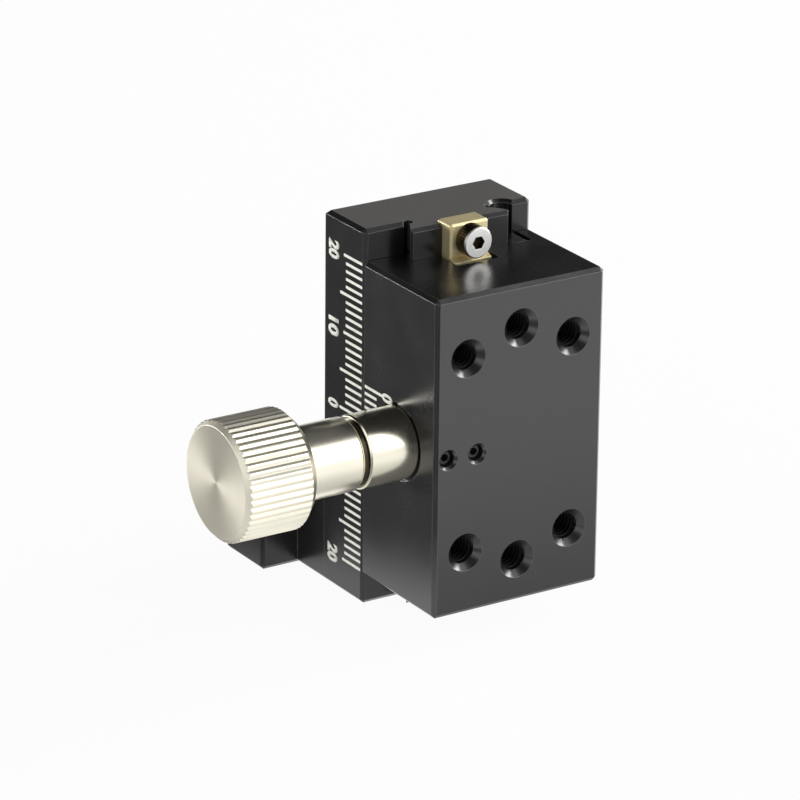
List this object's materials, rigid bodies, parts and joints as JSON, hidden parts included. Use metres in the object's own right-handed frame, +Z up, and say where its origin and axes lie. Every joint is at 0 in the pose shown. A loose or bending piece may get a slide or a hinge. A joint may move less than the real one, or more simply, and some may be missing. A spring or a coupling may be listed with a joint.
{
  "type": "dovetail slide",
  "caption": "Upright dovetail slide with a knurled knob that drives a tapped carriage along a brass rack, on a T-shaped foot.",
  "frame": {"origin": "middle of the foot's bolt line, on the foot's bottom face", "axes": "+Z up along the carriage's travel, -Y from the foot towards the carriage's tapped front, -X towards the knob"},
  "size_m": [0.0547, 0.0407, 0.0494],
  "materials": {
    "black_anodised": "black anodised aluminium, fine bead blasted, semi-matt",
    "brass": "milled brass, light sheen",
    "nickel": "turned and nickel plated, warm satin",
    "screw_steel": "bright stainless screw",
    "black_steel": "black oxide steel",
    "pinion_steel": "ground steel",
    "bush_bronze": "plain bronze",
    "plug_plastic": "natural acetal",
    "ring_dark": "dark spring steel"
  },
  "bodies": {
    "rail_body": {"dovetail_rail": "black_anodised", "rack": "brass", "rack_screws": "screw_steel", "mounting_foot": "black_anodised", "foot_screws": "black_steel", "foot_dowels": "pinion_steel"},
    "carriage_body": {"carriage": "black_anodised", "gib": "black_anodised", "gib_screws": "black_steel", "drive_bushing": "nickel", "bushing_lock_screw": "black_steel", "drag_screw": "black_steel", "drag_plug": "plug_plastic", "end_bush": "bush_bronze", "spring_washer": "ring_dark", "thrust_washer": "brass"},
    "spindle_body": {"pinion_shaft": "pinion_steel", "knob": "nickel", "knob_screw": "black_steel"}
  },
  "joints": [
    {"name": "carriage_slide", "type": "slide", "parent": "rail_body", "child": "carriage_body", "axis": [0, 0, 1], "range_m": [-0.015, 0.015]},
    {"name": "knob_turn", "type": "hinge", "parent": "carriage_body", "child": "spindle_body", "pos_m": [0, -0.02805, 0.0245], "axis": [1, 0, 0], "range_deg": [-290, 290]}
  ],
  "couplings": [
    {"joint": "knob_turn", "follows": "carriage_slide", "rad_per_m": -333.33}
  ]
}
